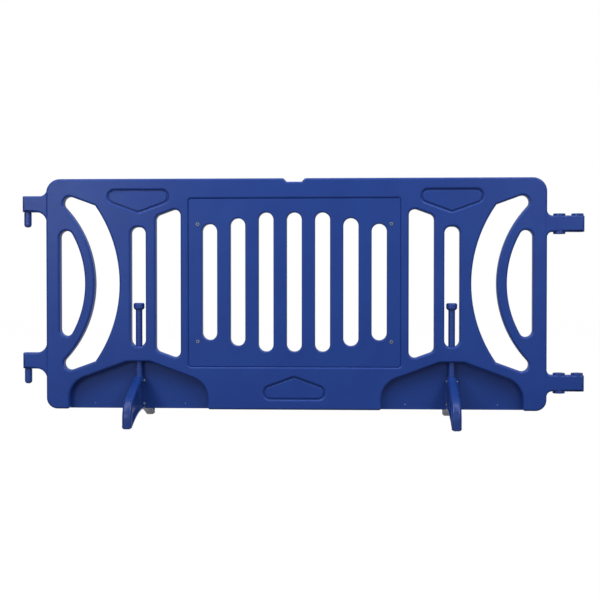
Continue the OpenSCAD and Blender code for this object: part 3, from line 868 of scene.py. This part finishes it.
# The zinc grey is tinted blue as a painted reflection of the blue plastic round the fasteners.
steel_tone_painted_blue_reflection = add_node(steel_tree, 'Mix', data_type='RGBA')
steel_tone_painted_blue_reflection.inputs["A"].default_value = (0.15, 0.18, 0.24, 1)
steel_tone_painted_blue_reflection.inputs["B"].default_value = (0.23, 0.27, 0.34, 1)
steel_tree.links.new(steel_skin.outputs["Cloud"], steel_tone_painted_blue_reflection.inputs["Factor"])
steel_tree.links.new(steel_tone_painted_blue_reflection.outputs["Result"], steel_shader.inputs["Base Color"])
steel_gloss = add_node(steel_tree, 'MapRange', {"To Min": 0.38, "To Max": 0.50})
steel_tree.links.new(steel_skin.outputs["Cloud"], steel_gloss.inputs["Value"])
steel_tree.links.new(steel_gloss.outputs["Result"], steel_shader.inputs["Roughness"])

bolt_drop = 0.019
bolt_rise = 0.024
bolt_levels = (foot_h - bolt_drop, arch_h + bolt_rise)
bolt_r = 0.003
hex_half_w = 0.005
hex_r = hex_half_w / math.cos(math.radians(30))
head_h = 0.004
nut_h = 0.005
tail_l = 0.0015
along_x = (0, math.pi / 2, 0)
to_front = (math.pi / 2, 0, 0)


def laid_down(piece, turn, place):
    """Lays an upright piece down, and sets its foot in its place."""
    pick(piece)
    piece.rotation_euler = turn
    piece.location = place
    bpy.ops.object.transform_apply(location=True, rotation=True, scale=True)


inserts = []
insert_l = 0.018
insert_bore_r = 0.003
insert_fit = 0.0001
insert_r = sign_hole_r - insert_fit
flange_r = 0.007
flange_h = 0.0012
insert_rings = [
    (insert_bore_r, -insert_l), (insert_r, -insert_l), (insert_r, 0), (flange_r, 0), (flange_r, flange_h),
    (insert_bore_r, flange_h),
]
for x, z in sign_holes:
    insert = turned("insert", insert_rings, (0, 0, 0), hollow=True, facets=48)
    ease(insert, width=0.0004)
    laid_down(insert, to_front, (x, field_y, z))
    inserts.append(insert)
pick(*inserts)
bpy.ops.object.join()
inserts[0].name = "threaded_inserts"
smooth(inserts[0])
wear(inserts[0], steel)
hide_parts("sign_inserts")
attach(inserts[0], "barrier")

screw_r = 0.003
screw_shank_l = 0.020
screw_head_r = 0.006
screw_l = 0.024
key_r = 0.0028
key_floor_z = 0.0218
screw_rings = [
    (screw_r, 0), (screw_r, screw_shank_l), (screw_head_r, screw_shank_l), (screw_head_r, screw_l),
    (key_r, screw_l), (key_r, key_floor_z),
]
for side_name, side in (("left", -1), ("right", 1)):
    x = middle_x + side * post_x
    screw_top_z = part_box(side_name + "_cap_screw")[1].z
    screw = turned(side_name + "_socket_screw", screw_rings, (x, 0, screw_top_z - screw_l), facets=48)
    ease(screw, width=0.0006)
    smooth(screw)
    wear(screw, steel)
    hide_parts(side_name + "_cap_screw")
    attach(screw, side_name + "_foot_set")

    bolts = []
    nuts = []
    for z in bolt_levels:
        head = turned("bolt_head", [(hex_r, -head_h), (hex_r, 0)], (0, 0, 0), facets=6)
        ease(head, width=0.0008, angle=50)
        shank = turned(
            "bolt_shank", [(bolt_r, 0), (bolt_r, 2 * foot_half_w + nut_h + tail_l)], (0, 0, 0), facets=32,
        )
        ease(shank, width=0.0006)
        nut_rings = [(bolt_r, 0), (hex_r, 0), (hex_r, nut_h), (bolt_r, nut_h)]
        nut = turned("nut", nut_rings, (0, 0, 0), hollow=True, facets=6)
        ease(nut, width=0.0007, angle=50)
        laid_down(head, along_x, (x - foot_half_w, 0, z))
        laid_down(shank, along_x, (x - foot_half_w, 0, z))
        laid_down(nut, along_x, (x + foot_half_w, 0, z))
        bolts += [head, shank]
        nuts.append(nut)
    for pieces, node, name in ((bolts, "hub_bolts", "hex_bolts"), (nuts, "hub_nuts", "hex_nuts")):
        pick(*pieces)
        bpy.ops.object.join()
        pieces[0].name = "%s_%s" % (side_name, name)
        smooth(pieces[0], angle=30)
        wear(pieces[0], steel)
        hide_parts("%s_%s" % (side_name, node))
        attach(pieces[0], side_name + "_foot_set")

# Studio
# A white floor and a white backdrop. A wide bright room in front of the barrier and large soft lamps
# on either side, above and behind light it, and two small lamps give its ends their sheen.
bpy.ops.object.select_all(action='DESELECT')
bpy.ops.mesh.primitive_plane_add(size=24.0, location=(0, 0, 0))
floor = bpy.context.object
floor.name = "floor"
floor_material = bpy.data.materials.new("floor_white")
floor_material.use_nodes = True
floor_tree = floor_material.node_tree
floor_shader = floor_tree.nodes["Principled BSDF"]
floor_shader.inputs["Base Color"].default_value = (0.12, 0.12, 0.12, 1)
floor_shader.inputs["Roughness"].default_value = 0.9
floor_shader.inputs["Specular IOR Level"].default_value = 0.1
floor_glow = add_node(floor_tree, 'Emission', {"Color": (1, 1, 1, 1), "Strength": 1.10})
floor_path = add_node(floor_tree, 'LightPath')
floor_seen = add_node(floor_tree, 'Math', operation='MAXIMUM')
floor_tree.links.new(floor_path.outputs["Is Camera Ray"], floor_seen.inputs[0])
floor_mirrored = add_node(floor_tree, 'Math', {1: 0.55}, operation='MULTIPLY')
floor_tree.links.new(floor_path.outputs["Is Glossy Ray"], floor_mirrored.inputs[0])
floor_tree.links.new(floor_mirrored.outputs["Value"], floor_seen.inputs[1])
floor_share = add_node(floor_tree, 'Math', {1: 0.90}, operation='MULTIPLY')
floor_tree.links.new(floor_seen.outputs["Value"], floor_share.inputs[0])
floor_mix = add_node(floor_tree, 'MixShader')
floor_tree.links.new(floor_share.outputs["Value"], floor_mix.inputs["Fac"])
floor_tree.links.new(floor_shader.outputs["BSDF"], floor_mix.inputs[1])
floor_tree.links.new(floor_glow.outputs["Emission"], floor_mix.inputs[2])
floor_tree.links.new(floor_mix.outputs["Shader"], floor_tree.nodes["Material Output"].inputs["Surface"])
wear(floor, floor_material)

world = bpy.data.worlds.new("studio")
bpy.context.scene.world = world
world.use_nodes = True
world_tree = world.node_tree
ambient = world_tree.nodes["Background"]
ambient.inputs["Color"].default_value = (0.95, 0.97, 1.0, 1)
world_place = add_node(world_tree, 'TexCoord')
world_axes = add_node(world_tree, 'SeparateXYZ')
world_tree.links.new(world_place.outputs["Generated"], world_axes.inputs["Vector"])
room_light = add_node(
    world_tree, 'MapRange', {"From Min": -0.75, "From Max": -0.05, "To Min": 0.56, "To Max": 0.12},
)
world_tree.links.new(world_axes.outputs["Y"], room_light.inputs["Value"])
world_tree.links.new(room_light.outputs["Result"], ambient.inputs["Strength"])
surround = add_node(world_tree, 'Background', {"Color": (1, 1, 1, 1), "Strength": 1.0})
world_path = add_node(world_tree, 'LightPath')
world_clear = add_node(world_tree, 'Math', operation='MAXIMUM')
world_tree.links.new(world_path.outputs["Is Camera Ray"], world_clear.inputs[0])
world_tree.links.new(world_path.outputs["Is Transmission Ray"], world_clear.inputs[1])
backdrop = add_node(world_tree, 'MapRange', {"From Min": 0.05, "From Max": 0.40, "To Max": 0.5})
world_tree.links.new(world_axes.outputs["Y"], backdrop.inputs["Value"])
world_mirrored = add_node(world_tree, 'Math', operation='MULTIPLY')
world_tree.links.new(world_path.outputs["Is Glossy Ray"], world_mirrored.inputs[0])
world_tree.links.new(backdrop.outputs["Result"], world_mirrored.inputs[1])
world_seen = add_node(world_tree, 'Math', operation='MAXIMUM')
world_tree.links.new(world_clear.outputs["Value"], world_seen.inputs[0])
world_tree.links.new(world_mirrored.outputs["Value"], world_seen.inputs[1])
world_mix = add_node(world_tree, 'MixShader')
world_tree.links.new(world_seen.outputs["Value"], world_mix.inputs["Fac"])
world_tree.links.new(ambient.outputs["Background"], world_mix.inputs[1])
world_tree.links.new(surround.outputs["Background"], world_mix.inputs[2])
world_tree.links.new(world_mix.outputs["Shader"], world_tree.nodes["World Output"].inputs["Surface"])


def softbox(name, place, target, width, height, power):
    """A rectangular lamp that looks from its place to a target."""
    bpy.ops.object.light_add(type='AREA', location=place)
    lamp = bpy.context.object
    lamp.name = name
    lamp.rotation_euler = (Vector(target) - Vector(place)).to_track_quat('-Z', 'Y').to_euler()
    lamp.data.shape = 'RECTANGLE'
    lamp.data.size = width
    lamp.data.size_y = height
    lamp.data.energy = power
    return lamp


softbox("left_softbox", (-3.6, -3.4, 5.4), (-0.2, 0, 0.5), width=3.0, height=3.0, power=208)
softbox("right_softbox", (3.6, -3.4, 5.4), (0.2, 0, 0.5), width=3.0, height=3.0, power=208)
softbox("top_softbox", (0, -0.9, 3.8), (0, -0.1, 0.5), width=4.0, height=1.2, power=60)
back_softbox = softbox("back_softbox", (0, 4.4, 3.6), (0, 0, 0.5), width=3.0, height=3.0, power=190)
back_softbox.visible_glossy = False
softbox("left_sheen", (-2.4, -4.9, 1.4), (-0.9, 0, 0.7), width=0.8, height=0.8, power=40)
softbox("right_sheen", (1.9, -4.9, 1.5), (0.9, 0, 0.7), width=0.8, height=0.8, power=14)

bpy.context.scene.view_settings.view_transform = 'Standard'
